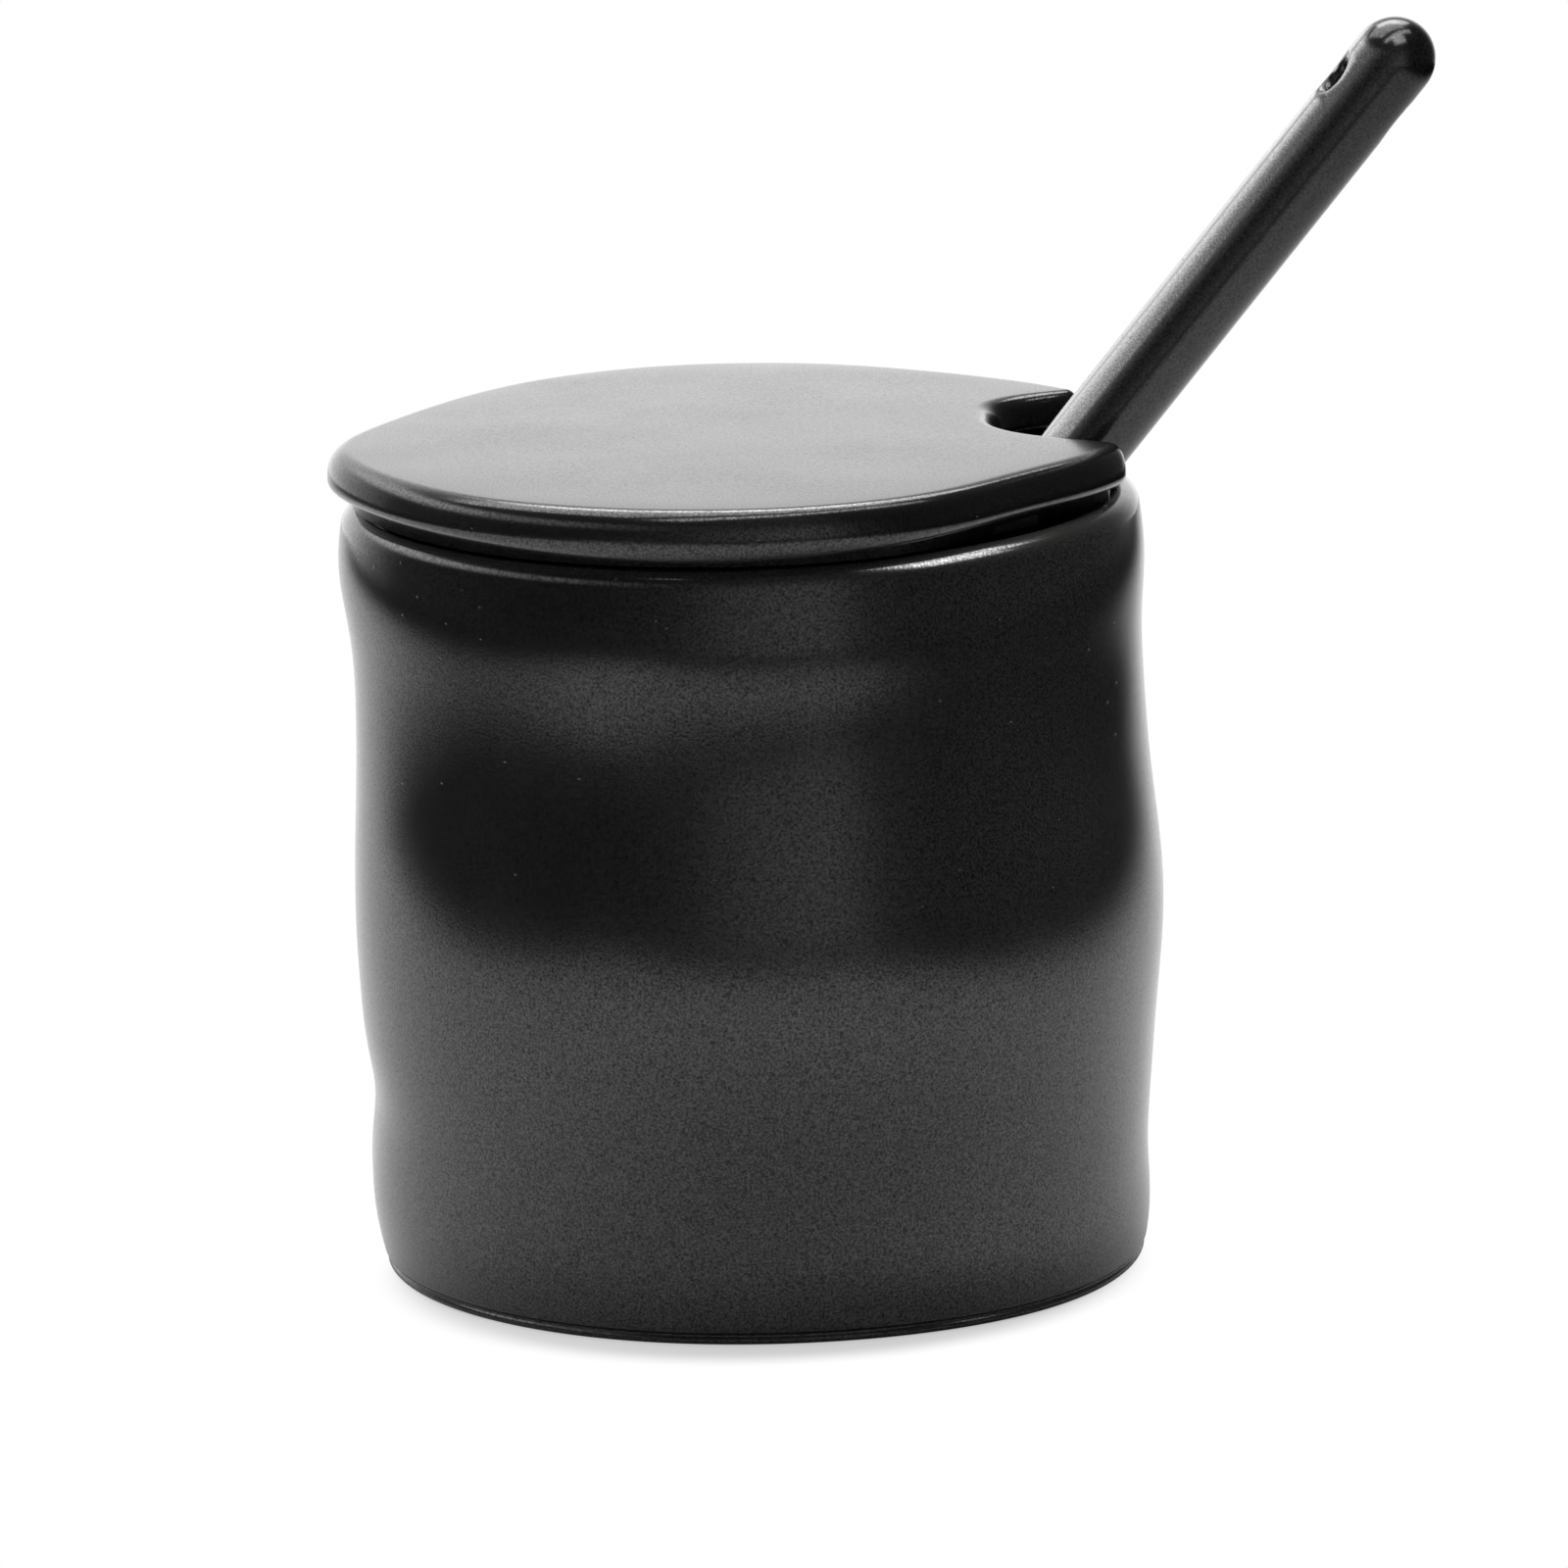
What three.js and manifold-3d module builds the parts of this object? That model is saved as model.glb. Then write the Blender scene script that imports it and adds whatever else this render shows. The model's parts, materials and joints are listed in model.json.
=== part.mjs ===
// A squat, hand-formed condiment jar with a flat notched lid and a round-handled spoon,
// in black glazed stoneware.
// Millimetres, +Z up. The origin is the middle of the jar's flat underside and -Y is the front.
// The spoon leans out towards +X: its bowl stands on the jar's floor and its handle rests on the rim,
// in the lid's notch.

import * as THREE from 'three';
import { mergeVertices } from 'three/addons/utils/BufferGeometryUtils.js';
import Module from 'manifold-3d';

const wasm = await Module();
wasm.setup();

// Fits
const seatGap = 0.3;              // between pieces that rest on each other
const notchGap = 1.8;             // least room between the handle and the lid's notch
const flangeGap = 1.3;            // between the lid's locating flange and the jar's mouth

// Jar
const rimHeight = 78.5;           // crest of the rim above the table
const bodyRadius = 39.6;          // outside, where the wall is neither swollen nor pressed in
const wall = 3.4;
const rimWall = 2.6;              // the wall thins towards the rim
const rimThinning = 20;           // over this height
const floorThickness = 4.5;
const floorFillet = 6.0;          // inside corner between wall and floor
const footInset = 1.2;            // how far the wall draws in at the foot
const footRise = 8.0;             // height over which it draws in
const footBevel = 0.5;            // broken edge round the underside
const lipDrop = 2.0;              // height of the rounded shoulder outside the rim
const lipInner = 1.0;             // radius of the rim's inner edge
const bellySwell = 1.2;           // the wall's gentle swell all round
const bellyHeight = 38.5;
const bellyRise = 14;
const shoulderSwell = 0.3;        // and its slight flare below the rim
const shoulderDrop = 6.0;
const shoulderRise = 6.0;

// Swells (+) and thumb presses (-) in the jar's wall: where they are round the jar and up it,
// how deep, and how far they reach to either side.
const jarPresses = [
  { turn: 0, height: 37, depth: 0.35, arc: 50, rise: 12 },
  { turn: 0, height: 58, depth: 0.25, arc: 40, rise: 8 },
  { turn: 0, height: 73, depth: 0.65, arc: 32, rise: 7 },
  { turn: 180, height: 38, depth: -0.75, arc: 50, rise: 16 },
  { turn: 180, height: 73.5, depth: 1.15, arc: 32, rise: 7.5 },
  { turn: 180, height: 18.5, depth: -0.75, arc: 25, rise: 4.5 },
  { turn: -150, height: 0, depth: -0.4, arc: 40, rise: 8 },
  { turn: -45, height: 0, depth: 1.4, arc: 32, rise: 10 },
  { turn: 0, height: 10, depth: -0.45, arc: 28, rise: 7 },
  { turn: -80, height: 38, depth: 1.1, arc: 62, rise: 70 },
  { turn: -90, height: 31, depth: 1.3, arc: 75, rise: 16 },
  { turn: -90, height: 60, depth: -0.2, arc: 70, rise: 9 },
  { turn: -90, height: 77, depth: -0.9, arc: 80, rise: 8 },
  { turn: -50, height: 72, depth: -0.6, arc: 30, rise: 12 },
  { turn: 62, height: 32, depth: -0.8, arc: 28, rise: 14 },
  { turn: 118, height: 57, depth: -0.9, arc: 24, rise: 12 },
];

// Lid
const lidThickness = 6.1;
const lidOverhang = 0.8;          // past the flared shoulder, before the outline's own flats
const lidWidest = 2.8;            // height of the rounded edge's widest line above the underside
const lidTopRound = 2.2;          // how far the edge draws in above that line
const lidUnderRound = 2.2;        // and below it
const topSquareness = 2.3;        // of the edge above that line: 2 is an ellipse
const edgeZone = 2.4;             // the rounded edge lies within this of the outline
const lidLift = 1.45;             // how far the edge's lower side is lifted off the rim
const lidDroop = 1.1;             // and how much less towards the front
const lidDroopTurn = -98;
const lidDroopArc = 34;
const notchAside = 5.0;           // the notch's middle, sideways from the handle
const notchFront = 18.4;          // half width of the notch where it is as deep as that, towards the front
const notchBack = 10.6;           // and towards the back
const hornRound = 3.5;            // how softly the notch runs out into the lid's edge
const hornSlimness = 0.45;        // share of the rounded edge that the slim horns have no room for
const flangeHeight = 3.0;
const flangeThickness = 2.8;
const flangeEndGap = 5;           // degrees between the notch's corners and the flange's ends

// Swells (+) and flats (-) in the lid's outline.
const lidPresses = [
  { turn: 180, depth: 0.9, arc: 14 },
  { turn: 150, depth: -2.1, arc: 24 },
  { turn: 57, depth: -2.4, arc: 24 },
  { turn: -42, depth: -2.2, arc: 18 },
  { turn: -85, depth: 0.5, arc: 25 },
];

// Spoon
const spoonLength = 153.4;
const spoonAside = 2.2;           // sideways from the jar's middle plane
const bowlToWall = 8.0;           // from the bowl to the wall behind it
const handleRadius = 4.2;         // at the thick end
const neckRadius = 4.2;           // where the handle meets the bowl
const handleEnd = 4.4;            // length of the handle's rounded end
const bowlLength = 35;
const bowlWidth = 21;
const bowlDepth = 7;
const bowlWall = 2.2;
const bowlBrim = 1.2;             // the brim's height above the handle's middle line
const brimShare = 0.5;            // of the handle's thickness that the brim keeps in front, as a ratio
const bowlWidest = 16.5;          // from the bowl's tip
const hangingHole = 3.6;          // diameter
const hangingHoleFromEnd = 9.2;
const hangingHoleTurn = 13;       // degrees about the handle

// Black satin glaze: one batch, a little glossier where the clay was worked smoother.
const jarGlaze = { colour: 0x1a1a1b, roughness: 0.4 };
const lidGlaze = { colour: 0x1c1c1d, roughness: 0.42 };
const spoonGlaze = { colour: 0x1a1a1b, roughness: 0.38 };

// Facets
const jarFacets = 48;
const lidFacets = 48;             // round the edge
const notchFacets = 44;           // across the sector that holds the notch
const notchSector = 68;           // degrees
const spoonFacets = 20;

const smoothstep = THREE.MathUtils.smoothstep;
const radians = THREE.MathUtils.degToRad;

// A soft bump: 1 at its middle, fading to nothing past its reach.
function bump(distance, reach) {
  return Math.exp(-((distance / reach) ** 2));
}

// Angle between a direction and a press, in degrees, the short way round.
function turnBetween(angle, turn) {
  const difference = THREE.MathUtils.radToDeg(angle) - turn;
  return THREE.MathUtils.euclideanModulo(difference + 180, 360) - 180;
}

// Skins a stack of equal rings into one closed body. The end rings close on their own middle points,
// or on the given upright axis.
function skin(rings, axis) {
  const around = rings[0].length;
  const points = rings.flat();
  const faces = [];
  for (let level = 0; level + 1 < rings.length; level++) {
    for (let step = 0; step < around; step++) {
      const next = (step + 1) % around;
      const low = level * around;
      const high = low + around;
      faces.push(low + step, low + next, high + next);
      faces.push(low + step, high + next, high + step);
    }
  }
  const closeRing = (level, order) => {
    const middle = new THREE.Vector3();
    rings[level].forEach((point) => middle.addScaledVector(point, 1 / around));
    if (axis) {
      middle.setX(axis.x).setY(axis.y);
    }
    const hub = points.push(middle) - 1;
    for (let step = 0; step < around; step++) {
      const here = level * around + step;
      const next = level * around + (step + 1) % around;
      faces.push(...order(here, next, hub));
    }
  };
  closeRing(0, (here, next, hub) => [next, here, hub]);
  closeRing(rings.length - 1, (here, next, hub) => [here, next, hub]);
  const geometry = new THREE.BufferGeometry().setFromPoints(points);
  geometry.setIndex(faces);
  return geometry;
}

// Turns a closed geometry into a solid that can be joined and cut.
function toSolid(geometry) {
  const bare = geometry.clone();
  bare.deleteAttribute('normal');
  bare.deleteAttribute('uv');
  const merged = mergeVertices(bare);
  const vertProperties = new Float32Array(merged.attributes.position.array);
  const triVerts = new Uint32Array(merged.index.array);
  return new wasm.Manifold(new wasm.Mesh({ numProp: 3, vertProperties, triVerts }));
}

function toGeometry(solid) {
  const mesh = solid.getMesh();
  const geometry = new THREE.BufferGeometry();
  geometry.setAttribute('position', new THREE.BufferAttribute(new Float32Array(mesh.vertProperties), 3));
  geometry.setIndex(new THREE.BufferAttribute(new Uint32Array(mesh.triVerts), 1));
  return geometry;
}

function namedMesh(name, geometry, glaze) {
  geometry.computeVertexNormals();
  const { colour, roughness } = glaze;
  const material = new THREE.MeshStandardMaterial({ color: colour, roughness, metalness: 0 });
  const mesh = new THREE.Mesh(geometry, material);
  mesh.name = name;
  return mesh;
}

// The jar's outside, at an angle about +Z and a height.
function jarRadius(angle, height) {
  const foot = footInset * Math.max(0, 1 - height / footRise) ** 2;
  const belly = bellySwell * bump(height - bellyHeight, bellyRise);
  const shoulder = shoulderSwell * bump(height - (rimHeight - shoulderDrop), shoulderRise);
  let radius = bodyRadius + belly + shoulder - foot;
  for (const press of jarPresses) {
    const across = bump(turnBetween(angle, press.turn), press.arc);
    const up = bump(height - press.height, press.rise);
    radius += press.depth * across * up;
  }
  return radius;
}

// The wall's thickness at a height.
function wallAt(height) {
  const thinned = smoothstep(height, rimHeight - rimThinning, rimHeight - lipInner);
  return THREE.MathUtils.lerp(wall, rimWall, thinned);
}

// Jar: one skin from the underside, up the outside, over the rim and down to the inside floor.
function makeJar() {
  const rimSteps = 4;
  const filletSteps = 4;
  const outerSteps = 14;
  const innerSteps = 9;
  const stations = [{ inset: footBevel, height: 0 }];
  const shoulder = rimHeight - lipDrop;
  for (let step = 0; step < outerSteps; step++) {
    stations.push({ inset: 0, height: THREE.MathUtils.lerp(footBevel, shoulder, step / outerSteps) });
  }
  const lipOuter = rimWall - lipInner;
  for (let step = 0; step <= rimSteps; step++) {
    const bend = (Math.PI / 2) * (step / rimSteps);
    stations.push({ inset: lipOuter * (1 - Math.cos(bend)), height: shoulder + lipDrop * Math.sin(bend) });
  }
  for (let step = 1; step < rimSteps; step++) {
    const bend = (Math.PI / 2) * (step / rimSteps);
    const height = rimHeight - lipInner * (1 - Math.cos(bend));
    stations.push({ inset: lipOuter + lipInner * Math.sin(bend), height });
  }
  const filletTop = floorThickness + floorFillet;
  for (let step = 0; step <= innerSteps; step++) {
    const height = THREE.MathUtils.lerp(rimHeight - lipInner, filletTop, step / innerSteps);
    stations.push({ inset: wallAt(height), height });
  }
  for (let step = 1; step <= filletSteps; step++) {
    const bend = (Math.PI / 2) * (step / filletSteps);
    const height = filletTop - floorFillet * Math.sin(bend);
    stations.push({ inset: wall + floorFillet * (1 - Math.cos(bend)), height });
  }
  const rings = stations.map(({ inset, height }) => {
    const ring = [];
    for (let step = 0; step < jarFacets; step++) {
      const angle = 2 * Math.PI * step / jarFacets;
      const radius = jarRadius(angle, height) - inset;
      ring.push(new THREE.Vector3(radius * Math.cos(angle), radius * Math.sin(angle), height));
    }
    return ring;
  });
  return namedMesh('jar', skin(rings), jarGlaze);
}

// The spoon stands upright in its own frame: bowl tip at the origin, handle up +Z, hollow side facing -X.

// Thickness of the round handle at a distance from the bowl's tip. Inside the bowl it dies away.
function handleAt(along) {
  if (along < bowlLength) {
    return neckRadius * Math.sqrt(Math.max(0, along) / bowlLength);
  }
  const radius = THREE.MathUtils.mapLinear(along, bowlLength, spoonLength, neckRadius, handleRadius);
  const intoEnd = Math.max(0, along - (spoonLength - handleEnd)) / handleEnd;
  return radius * Math.sqrt(Math.max(0, 1 - intoEnd ** 2));
}

// The egg outline of the bowl: 1 at its widest, 0 at its tip and where it runs into the handle.
function eggAt(along) {
  const half = along < bowlWidest ? bowlWidest : bowlLength - bowlWidest;
  return Math.sqrt(Math.max(0, 1 - ((along - bowlWidest) / half) ** 2));
}

// Blends the bowl's size into the handle's without a crease.
function flowInto(bowlSize, handleSize) {
  const sharpness = 4;
  return (bowlSize ** sharpness + handleSize ** sharpness) ** (1 / sharpness);
}

// The spoon's cross-section. The front rises from the bowl's brim to the round handle's full thickness.
function spoonSection(along) {
  const handle = handleAt(along);
  const brim = bowlBrim * Math.sqrt(eggAt(along));
  const brimFront = flowInto(brim, handle * brimShare);
  const intoHandle = smoothstep(along, bowlWidest, bowlLength + neckRadius);
  return {
    halfWidth: flowInto(bowlWidth / 2 * eggAt(along), handle),
    back: flowInto(bowlDepth * eggAt(along), handle),
    front: THREE.MathUtils.lerp(brimFront, handle, intoHandle),
  };
}

// Rest of the spoon in the jar: the bowl's tip and the lean from upright that put the bowl on the floor,
// bowlToWall from the far wall, and the handle on the inner edge of the rim.
function restSpoon() {
  const edgeHeight = rimHeight - lipInner;
  const edgeRadius = jarRadius(0, edgeHeight) - rimWall + lipInner;
  const edge = new THREE.Vector2(Math.sqrt(edgeRadius ** 2 - spoonAside ** 2), edgeHeight);
  const farWall = jarRadius(Math.PI, floorThickness + bowlLength / 2) - wall;
  const profileSteps = 60;
  const settlingRounds = 20;
  let lean = 0;
  const tip = new THREE.Vector2();
  for (let round = 0; round < settlingRounds; round++) {
    let lowest = 0;
    let furthest = 0;
    for (let step = 0; step <= profileSteps; step++) {
      const along = bowlLength * step / profileSteps;
      const { front, back } = spoonSection(along);
      lowest = Math.min(lowest, along * Math.cos(lean) - back * Math.sin(lean));
      furthest = Math.min(furthest, along * Math.sin(lean) - front * Math.cos(lean));
    }
    tip.set(bowlToWall - farWall - furthest, floorThickness + seatGap - lowest);
    const reach = edge.distanceTo(tip);
    const offset = handleAt(reach) + lipInner + seatGap;
    lean = Math.atan2(edge.x - tip.x, edge.y - tip.y) - Math.asin(offset / reach);
  }
  return { tip, lean };
}

const spoonRest = restSpoon();

function makeSpoon() {
  const bowlSteps = 16;
  const handleSteps = 12;
  const endSteps = 6;
  const places = [];
  for (let step = 1; step <= bowlSteps; step++) {
    places.push(bowlLength * (1 - Math.cos(Math.PI * step / bowlSteps)) / 2);
  }
  const endStart = spoonLength - handleEnd;
  for (let step = 1; step <= handleSteps; step++) {
    places.push(THREE.MathUtils.lerp(bowlLength, endStart, step / handleSteps));
  }
  for (let step = 1; step < endSteps; step++) {
    places.push(endStart + handleEnd * Math.sin((Math.PI / 2) * (step / endSteps)));
  }
  const rings = places.map((along) => {
    const { halfWidth, back, front } = spoonSection(along);
    const ring = [];
    for (let step = 0; step < spoonFacets; step++) {
      const angle = 2 * Math.PI * step / spoonFacets;
      const thick = Math.cos(angle) > 0 ? back : front;
      ring.push(new THREE.Vector3(thick * Math.cos(angle), halfWidth * Math.sin(angle), along));
    }
    return ring;
  });
  const hollow = new THREE.SphereGeometry(1, spoonFacets, spoonFacets / 2);
  const place = hollow.attributes.position;
  for (let index = 0; index < place.count; index++) {
    const across = place.getX(index) > 0 ? bowlDepth - bowlWall : bowlDepth;
    const half = place.getZ(index) < 0 ? bowlWidest : bowlLength - bowlWidest;
    place.setX(index, place.getX(index) * across);
    place.setY(index, place.getY(index) * (bowlWidth / 2 - bowlWall));
    place.setZ(index, bowlWidest + place.getZ(index) * (half - bowlWall));
  }
  const boreRadius = hangingHole / 2;
  const boreLength = 4 * handleRadius;  // well past both sides of the handle
  const bore = new THREE.CylinderGeometry(boreRadius, boreRadius, boreLength, spoonFacets);
  bore.rotateZ(Math.PI / 2 + radians(hangingHoleTurn));
  bore.translate(0, 0, spoonLength - hangingHoleFromEnd);
  const solid = toSolid(skin(rings)).subtract(toSolid(hollow)).subtract(toSolid(bore));
  const spoon = namedMesh('spoon', toGeometry(solid), spoonGlaze);
  spoon.position.set(spoonRest.tip.x, spoonAside, spoonRest.tip.y);
  spoon.rotation.y = spoonRest.lean;
  return spoon;
}

const lidUnderside = rimHeight + seatGap;

// How far the lid's rounded edge draws in at a rise above the underside.
function edgeInset(rise) {
  if (rise < lidWidest) {
    const share = (lidWidest - rise) / lidWidest;
    return lidUnderRound * (1 - Math.sqrt(1 - share ** 2));
  }
  const share = Math.min(1, (rise - lidWidest) / (lidThickness - lidWidest));
  return lidTopRound * (1 - (1 - share ** topSquareness) ** (1 / topSquareness));
}

// How far the lower side of the lid's edge is lifted off the rim, at an angle about +Z.
function liftAt(angle) {
  return lidLift - lidDroop * bump(turnBetween(angle, lidDroopTurn), lidDroopArc);
}

// The notch is open towards +X. Its inner end clears the leaning handle all through the lid.
const notchMiddle = spoonAside + notchAside;
const notchEnd = findNotchEnd();
const lidHub = new THREE.Vector3(0, notchMiddle, 0);

function notchWidth(across) {
  return across > notchMiddle ? notchBack : notchFront;
}

// How far the notch's edge has run out from its inner end, at a place across the lid.
function notchDepth(across) {
  return Math.abs(across - notchMiddle) ** 3 / notchWidth(across) ** 2;
}

function findNotchEnd() {
  const { tip, lean } = spoonRest;
  const samples = 72;
  const levels = 12;
  let nearest = Infinity;
  for (let level = 0; level <= levels; level++) {
    const rise = lidThickness * level / levels;
    const along = (lidUnderside + rise - tip.y) / Math.cos(lean);
    const middle = tip.x + along * Math.sin(lean);
    const radius = handleAt(along);
    for (let step = 0; step < samples; step++) {
      const angle = 2 * Math.PI * step / samples;
      const reach = middle + radius / Math.cos(lean) * Math.cos(angle);
      const depth = notchDepth(spoonAside + radius * Math.sin(angle));
      nearest = Math.min(nearest, reach - depth + edgeInset(rise));
    }
  }
  return nearest - notchGap;
}

// How far a point is past the lid's outline, and how far into a corner beside the notch, from 0 to 1.
function pastOutline({ x, y }) {
  let radius = bodyRadius + shoulderSwell + lidOverhang;
  for (const press of lidPresses) {
    radius += press.depth * bump(turnBetween(Math.atan2(y, x), press.turn), press.arc);
  }
  const pastEdge = Math.hypot(x, y) - radius;
  const slant = 3 * (y - notchMiddle) ** 2 / notchWidth(y) ** 2;
  const pastNotch = (x - notchEnd - notchDepth(y)) / Math.hypot(1, slant);
  const corner = (Math.max(0, hornRound - Math.abs(pastEdge - pastNotch)) / hornRound) ** 2;
  return { past: Math.max(pastEdge, pastNotch) + corner * hornRound / 4, corner };
}

// The place where a ray meets the lid's outline. Rays start at the hub, level with the notch's middle,
// so that none meets it twice.
function outlinePoint(angle) {
  const stride = 1;
  const halvings = 24;
  const ray = new THREE.Vector3(Math.cos(angle), Math.sin(angle), 0);
  const along = (distance) => lidHub.clone().addScaledVector(ray, distance);
  let near = 0;
  while (pastOutline(along(near + stride)).past < 0) {
    near += stride;
  }
  let far = near + stride;
  for (let halving = 0; halving < halvings; halving++) {
    const middle = (near + far) / 2;
    [near, far] = pastOutline(along(middle)).past < 0 ? [middle, far] : [near, middle];
  }
  return along(far);
}

// A place on the lid's outline: the point, the way in, shorter where a horn is slim, and the edge's lift.
function outlineAt(angle) {
  const nudge = 1e-3;
  const point = outlinePoint(angle);
  const along = outlinePoint(angle + nudge).sub(outlinePoint(angle - nudge)).normalize();
  const room = 1 - hornSlimness * pastOutline(point).corner;
  const inwards = new THREE.Vector3(-along.y, along.x, 0).multiplyScalar(room);
  return { point, inwards, lift: liftAt(Math.atan2(point.y, point.x)) };
}

// Lid: a flat slab with rounded edges, and below it the flange that keeps it in the jar's mouth.
function makeLid() {
  const edgeSteps = 4;
  const stations = [{ inset: edgeZone, rise: 0, lifted: 0 }];
  for (let step = 0; step < edgeSteps; step++) {
    const share = Math.cos((Math.PI / 2) * (step / edgeSteps));
    const rise = lidWidest * (1 - share);
    stations.push({ inset: edgeInset(rise), rise, lifted: share });
  }
  for (let step = 0; step <= edgeSteps; step++) {
    const share = Math.sin((Math.PI / 2) * (step / edgeSteps)) ** (2 / topSquareness);
    const rise = THREE.MathUtils.lerp(lidWidest, lidThickness, share);
    stations.push({ inset: edgeInset(rise), rise, lifted: 0 });
  }
  const sector = radians(notchSector);
  const angles = [];
  for (let step = 0; step < notchFacets; step++) {
    angles.push(sector * (step / notchFacets - 0.5));
  }
  for (let step = 0; step < lidFacets; step++) {
    angles.push(sector / 2 + (2 * Math.PI - sector) * step / lidFacets);
  }
  const outline = angles.map(outlineAt);
  const rings = stations.map(({ inset, rise, lifted }) => outline.map(({ point, inwards, lift }) => (
    point.clone().addScaledVector(inwards, inset).setZ(lidUnderside + rise + lift * lifted)
  )));
  const slab = toSolid(skin(rings, lidHub));

  const flangeFoot = lidUnderside - flangeHeight;
  let mouth = Infinity;
  for (const angle of angles) {
    mouth = Math.min(mouth, jarRadius(angle, flangeFoot) - wallAt(flangeFoot));
  }
  const flangeOuter = mouth - flangeGap;
  const flangeInner = flangeOuter - flangeThickness;
  const beside = rings[0].slice(0, notchFacets).filter((point) => Math.hypot(point.x, point.y) < flangeOuter);
  const open = beside.map(({ x, y }) => Math.atan2(y, x));
  const from = Math.max(...open) + radians(flangeEndGap);
  const to = Math.min(...open) - radians(flangeEndGap) + 2 * Math.PI;
  const section = new THREE.Shape();
  section.absarc(0, 0, flangeOuter, from, to, false);
  section.absarc(0, 0, flangeInner, to, from, true);
  section.closePath();
  const flange = new THREE.ExtrudeGeometry(section, {
    depth: flangeHeight + lidThickness / 2,
    bevelEnabled: false,
    curveSegments: jarFacets,
  });
  flange.translate(0, 0, flangeFoot);
  return namedMesh('lid', toGeometry(slab.add(toSolid(flange))), lidGlaze);
}

const jarWithSpoon = new THREE.Group();
jarWithSpoon.add(makeJar(), makeLid(), makeSpoon());

export default jarWithSpoon;
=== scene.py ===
# A squat, hand-formed condiment jar with a flat notched lid and a round-handled spoon,
# in black satin-glazed stoneware, on a white table.
# Sizes are in millimetres and turns in degrees. Finished meshes are in metres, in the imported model's frame:
# +Z up, -Y the front, the origin in the middle of the jar's underside.

import json
import math

import bmesh
import bpy
from mathutils import Matrix, Quaternion, Vector, noise


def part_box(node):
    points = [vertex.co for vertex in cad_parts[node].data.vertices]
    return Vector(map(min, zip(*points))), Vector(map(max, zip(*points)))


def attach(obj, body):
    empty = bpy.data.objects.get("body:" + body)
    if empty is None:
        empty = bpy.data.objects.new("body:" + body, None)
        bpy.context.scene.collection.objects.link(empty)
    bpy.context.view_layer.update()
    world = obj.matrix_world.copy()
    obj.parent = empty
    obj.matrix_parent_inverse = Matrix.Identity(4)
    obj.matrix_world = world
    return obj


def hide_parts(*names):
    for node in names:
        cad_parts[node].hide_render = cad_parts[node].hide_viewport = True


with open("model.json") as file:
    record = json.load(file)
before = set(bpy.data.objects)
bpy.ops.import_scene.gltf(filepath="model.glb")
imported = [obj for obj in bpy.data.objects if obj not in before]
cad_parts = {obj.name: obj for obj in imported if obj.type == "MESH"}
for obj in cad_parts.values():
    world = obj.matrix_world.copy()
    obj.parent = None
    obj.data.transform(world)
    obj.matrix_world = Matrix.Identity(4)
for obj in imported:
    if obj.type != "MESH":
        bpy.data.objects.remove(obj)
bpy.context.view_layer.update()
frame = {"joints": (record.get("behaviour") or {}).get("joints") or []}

MM = 0.001

# Fits
SEAT_GAP = 0.3            # between pieces that rest on each other
NOTCH_GAP = 1.8           # least room between the handle and the lid's notch
FLANGE_GAP = 1.3          # between the lid's locating flange and the jar's mouth

# Jar sizes
RIM_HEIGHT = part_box("jar")[1].z / MM
BODY_RADIUS = 39.6
WALL = 3.4
RIM_WALL = 2.6            # the wall thins towards the rim
RIM_THINNING = 20.0       # over this height
FLOOR_THICKNESS = 4.5
FLOOR_FILLET = 6.0
FOOT_INSET = 1.2          # how far the wall draws in at the foot
FOOT_RISE = 8.0           # height over which it draws in
FOOT_ROUND = 0.45         # radius of the bead of glaze round the underside
GROOVE_HEIGHT = 1.0       # of the shallow groove above the bead
GROOVE_DEPTH = 0.35
GROOVE_RISE = 0.3
LIP_DROP = 2.0            # height of the rounded shoulder outside the rim
LIP_INNER = 1.0           # radius of the rim's inner edge
BELLY_SWELL = 1.2
BELLY_HEIGHT = 38.5
BELLY_RISE = 14.0
SHOULDER_SWELL = 0.3
SHOULDER_DROP = 6.0
SHOULDER_RISE = 6.0

# Swells (+) and thumb presses (-) in the wall: turn about the jar, height, depth, and reach across and up.
JAR_PRESSES = (
    (0, 37, 0.35, 50, 12),
    (0, 58, 0.25, 40, 8),
    (0, 73, 0.65, 32, 7),
    (180, 38, -0.75, 50, 16),
    (180, 73.5, 1.15, 32, 7.5),
    (180, 18.5, -0.75, 25, 4.5),
    (-150, 0, -0.4, 40, 8),
    (-45, 0, 1.4, 32, 10),
    (0, 10, -0.45, 28, 7),
    (-80, 38, 1.1, 62, 70),
    (-90, 31, 1.3, 75, 16),
    (-90, 46, 0.12, 70, 5),
    (-90, 60, -0.2, 70, 9),
    (-80, 71, 0.3, 50, 5),
    (-90, 77, -0.9, 80, 8),
    (-50, 72, -0.6, 30, 12),
    (62, 32, -0.8, 28, 14),
    (118, 57, -0.9, 24, 12),
)

# Lid sizes
LID_THICKNESS = 6.1
LID_DOME = 0.2            # how far the whole top falls towards its edge
LID_CROWN = 0.1           # how far it falls more, close to the edge
LID_CROWN_WIDTH = 7.0     # over this distance
LID_OVERHANG = 0.8        # past the flared shoulder, before the outline's own flats
LID_WIDEST = 2.8          # height of the rounded edge's widest line above the underside
LID_TOP_ROUND = 2.2       # how far the edge draws in above that line
LID_UNDER_ROUND = 2.2     # and below it
TOP_SQUARENESS = 2.3      # of the edge above that line: 2 is an ellipse
LID_LIFT = 1.45           # how far the edge's lower side is lifted off the rim
LID_DROOP = 1.1           # and how much less towards the front
LID_DROOP_TURN = -98
LID_DROOP_ARC = 34
NOTCH_ASIDE = 5.0         # the notch's middle, sideways from the handle
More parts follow.
